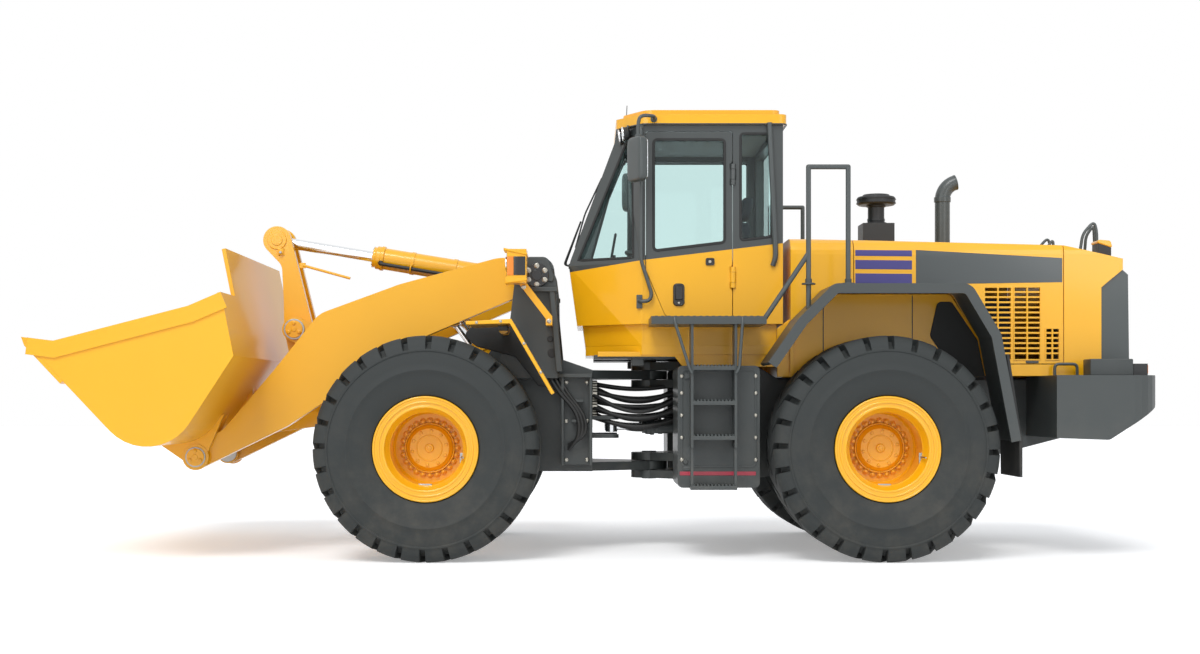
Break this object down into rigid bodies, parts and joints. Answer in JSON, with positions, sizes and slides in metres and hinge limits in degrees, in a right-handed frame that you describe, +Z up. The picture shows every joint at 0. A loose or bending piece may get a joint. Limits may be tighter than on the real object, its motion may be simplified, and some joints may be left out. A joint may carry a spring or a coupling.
{
  "type": "wheel loader",
  "caption": "Articulated wheel loader with a cab, a front bucket on a lifting boom and Z-bar linkage, an engine hood and counterweight, for digging, loading and carrying loose material",
  "frame": {"origin": "on the ground, under the middle of the machine's length and width", "axes": "-X is forward to the bucket, -Y is the machine's left side, +Z is up"},
  "size_m": [8.532, 3.17, 3.5],
  "materials": {
    "yellow_paint": "gloss machine yellow enamel on steel",
    "dark_paint": "satin dark grey enamel on steel",
    "cast_iron": "painted rough casting",
    "tyre": "moulded black rubber, matt",
    "chrome_rod": "ground and chromed rod",
    "cylinder_paint": "gloss machine yellow enamel on tube",
    "pin_steel": "turned steel pin",
    "tinted_glass": "green tinted safety glass",
    "black_plastic": "grained black plastic",
    "hose_rubber": "braided hydraulic hose cover",
    "lamp_lens": "amber and red lamp lens",
    "seat_cloth": "dark woven seat cloth"
  },
  "bodies": {
    "rear_body": {"rear_frame": "dark_paint", "rear_axle": "cast_iron", "power_train": "cast_iron", "counterweight": "dark_paint", "engine_hood": "yellow_paint", "rear_grille": "dark_paint", "rear_fenders": "dark_paint", "side_tanks": "dark_paint", "ladders": "dark_paint", "handrails": "dark_paint", "cab_floor": "dark_paint", "cab_front": "yellow_paint", "cab_left_side": "yellow_paint", "cab_right_side": "yellow_paint", "cab_rear_wall": "dark_paint", "cab_roof": "yellow_paint", "cab_glass": "tinted_glass", "operator_seat": "seat_cloth", "control_column": "black_plastic", "mirrors": "black_plastic", "air_precleaner": "black_plastic", "exhaust_stack": "dark_paint", "rear_lamps": "lamp_lens", "hinge_hoses": "hose_rubber"},
    "cab_door_body": {"cab_door": "yellow_paint", "door_glass": "tinted_glass"},
    "engine_door_left_body": {"engine_door_left": "yellow_paint"},
    "engine_door_right_body": {"engine_door_right": "yellow_paint"},
    "front_body": {"front_frame": "dark_paint", "front_axle": "cast_iron", "front_fenders": "yellow_paint", "head_lamps": "black_plastic", "tilt_base_pin": "pin_steel"},
    "boom_body": {"boom_arms": "yellow_paint", "boom_cross_tube": "yellow_paint", "bucket_pins": "pin_steel", "bellcrank_pin": "pin_steel"},
    "bucket_body": {"bucket": "yellow_paint"},
    "bellcrank_body": {"bellcrank": "yellow_paint", "link_pin": "pin_steel"},
    "link_body": {"bucket_link": "yellow_paint"},
    "tilt_barrel_body": {"tilt_barrel": "cylinder_paint"},
    "tilt_rod_body": {"tilt_rod": "chrome_rod"},
    "lift_barrel_left_body": {"lift_barrel_left": "cylinder_paint"},
    "lift_rod_left_body": {"lift_rod_left": "chrome_rod"},
    "steer_barrel_left_body": {"steer_barrel_left": "cylinder_paint"},
    "steer_rod_left_body": {"steer_rod_left": "chrome_rod"},
    "lift_barrel_right_body": {"lift_barrel_right": "cylinder_paint"},
    "lift_rod_right_body": {"lift_rod_right": "chrome_rod"},
    "steer_barrel_right_body": {"steer_barrel_right": "cylinder_paint"},
    "steer_rod_right_body": {"steer_rod_right": "chrome_rod"},
    "wheel_front_left": {"tyre_front_left": "tyre", "rim_front_left": "yellow_paint"},
    "wheel_front_right": {"tyre_front_right": "tyre", "rim_front_right": "yellow_paint"},
    "wheel_rear_left": {"tyre_rear_left": "tyre", "rim_rear_left": "yellow_paint"},
    "wheel_rear_right": {"tyre_rear_right": "tyre", "rim_rear_right": "yellow_paint"}
  },
  "joints": [
    {"name": "steer", "type": "hinge", "parent": "rear_body", "child": "front_body", "pos_m": [0.43103, 0, 1.05], "axis": [0, 0, 1], "range_deg": [-38, 38], "deforming": ["hinge_hoses"]},
    {"name": "boom_lift", "type": "hinge", "parent": "front_body", "child": "boom_body", "pos_m": [-0.48597, 0, 2.206], "axis": [0, 1, 0], "range_deg": [-13, 72]},
    {"name": "cab_door_hinge", "type": "hinge", "parent": "rear_body", "child": "cab_door_body", "pos_m": [1.05903, -0.8, 2.6], "axis": [0, 0, 1], "range_deg": [0, 95]},
    {"name": "engine_door_left_hinge", "type": "hinge", "parent": "rear_body", "child": "engine_door_left_body", "pos_m": [2.80603, -0.353, 2.46014], "axis": [-0.9996, 0, 0.0276], "range_deg": [0, 55]},
    {"name": "engine_door_right_hinge", "type": "hinge", "parent": "rear_body", "child": "engine_door_right_body", "pos_m": [2.80603, 0.353, 2.46014], "axis": [0.9996, 0, -0.0276], "range_deg": [0, 55]},
    {"name": "wheel_front_left_spin", "type": "hinge", "parent": "front_body", "child": "wheel_front_left", "pos_m": [-1.29397, -1.15, 0.85], "axis": [0, 1, 0], "continuous": true},
    {"name": "wheel_front_right_spin", "type": "hinge", "parent": "front_body", "child": "wheel_front_right", "pos_m": [-1.29397, 1.15, 0.85], "axis": [0, 1, 0], "continuous": true},
    {"name": "wheel_rear_left_spin", "type": "hinge", "parent": "rear_body", "child": "wheel_rear_left", "pos_m": [2.15603, -1.15, 0.85], "axis": [0, 1, 0], "continuous": true},
    {"name": "wheel_rear_right_spin", "type": "hinge", "parent": "rear_body", "child": "wheel_rear_right", "pos_m": [2.15603, 1.15, 0.85], "axis": [0, 1, 0], "continuous": true},
    {"name": "bucket_tilt", "type": "hinge", "parent": "boom_body", "child": "bucket_body", "pos_m": [-3.19397, 0, 0.765], "axis": [0, -1, 0], "range_deg": [0, 120]},
    {"name": "bellcrank_turn", "type": "hinge", "parent": "boom_body", "child": "bellcrank_body", "pos_m": [-2.49397, 0, 1.8], "axis": [0, -1, 0], "range_deg": [-44.4, 1]},
    {"name": "link_turn", "type": "hinge", "parent": "bellcrank_body", "child": "link_body", "pos_m": [-2.13397, 0, 1.085], "axis": [0, -1, 0], "range_deg": [-1, 34.6]},
    {"name": "tilt_barrel_turn", "type": "hinge", "parent": "front_body", "child": "tilt_barrel_body", "pos_m": [-0.77397, 0, 2.232], "axis": [0, -1, 0], "range_deg": [-81.65, 15.56]},
    {"name": "tilt_rod_slide", "type": "slide", "parent": "tilt_barrel_body", "child": "tilt_rod_body", "axis": [-0.9868, 0, 0.1621], "range_m": [-0.568, 0.01]},
    {"name": "lift_barrel_left_turn", "type": "hinge", "parent": "front_body", "child": "lift_barrel_left_body", "pos_m": [-0.39397, -0.335, 0.8], "axis": [0, -1, 0], "range_deg": [-19.16, 4.28]},
    {"name": "lift_rod_left_slide", "type": "slide", "parent": "lift_barrel_left_body", "child": "lift_rod_left_body", "axis": [-0.5782, 0, 0.8159], "range_m": [-0.1383, 0.7208]},
    {"name": "steer_barrel_left_turn", "type": "hinge", "parent": "rear_body", "child": "steer_barrel_left_body", "pos_m": [0.85103, -0.25, 1], "axis": [0, 0, 1], "range_deg": [-18.94, 18.94]},
    {"name": "steer_rod_left_slide", "type": "slide", "parent": "steer_barrel_left_body", "child": "steer_rod_left_body", "axis": [-0.9942, -0.1075, 0], "range_m": [-0.2012, 0.2012]},
    {"name": "lift_barrel_right_turn", "type": "hinge", "parent": "front_body", "child": "lift_barrel_right_body", "pos_m": [-0.39397, 0.335, 0.8], "axis": [0, -1, 0], "range_deg": [-19.16, 4.28]},
    {"name": "lift_rod_right_slide", "type": "slide", "parent": "lift_barrel_right_body", "child": "lift_rod_right_body", "axis": [-0.5782, 0, 0.8159], "range_m": [-0.1383, 0.7208]},
    {"name": "steer_barrel_right_turn", "type": "hinge", "parent": "rear_body", "child": "steer_barrel_right_body", "pos_m": [0.85103, 0.25, 1], "axis": [0, 0, 1], "range_deg": [-18.94, 18.94]},
    {"name": "steer_rod_right_slide", "type": "slide", "parent": "steer_barrel_right_body", "child": "steer_rod_right_body", "axis": [-0.9942, 0.1075, 0], "range_m": [-0.2012, 0.2012]}
  ],
  "couplings": [
    {"joint": "bellcrank_turn", "follows": "bucket_tilt", "ratio": -0.36169},
    {"joint": "link_turn", "follows": "bucket_tilt", "ratio": 0.28},
    {"joint": "tilt_barrel_turn", "follows": "boom_lift", "ratio": -1.1202},
    {"joint": "tilt_rod_slide", "follows": "bucket_tilt", "m_per_rad": -0.26643},
    {"joint": "lift_barrel_left_turn", "follows": "boom_lift", "ratio": -0.25227},
    {"joint": "lift_rod_left_slide", "follows": "boom_lift", "m_per_rad": 0.56565},
    {"joint": "steer_barrel_left_turn", "follows": "steer", "ratio": 0.47208},
    {"joint": "steer_rod_left_slide", "follows": "steer", "m_per_rad": -0.2883},
    {"joint": "lift_barrel_right_turn", "follows": "boom_lift", "ratio": -0.25227},
    {"joint": "lift_rod_right_slide", "follows": "boom_lift", "m_per_rad": 0.56565},
    {"joint": "steer_barrel_right_turn", "follows": "steer", "ratio": 0.47208},
    {"joint": "steer_rod_right_slide", "follows": "steer", "m_per_rad": 0.2883}
  ]
}
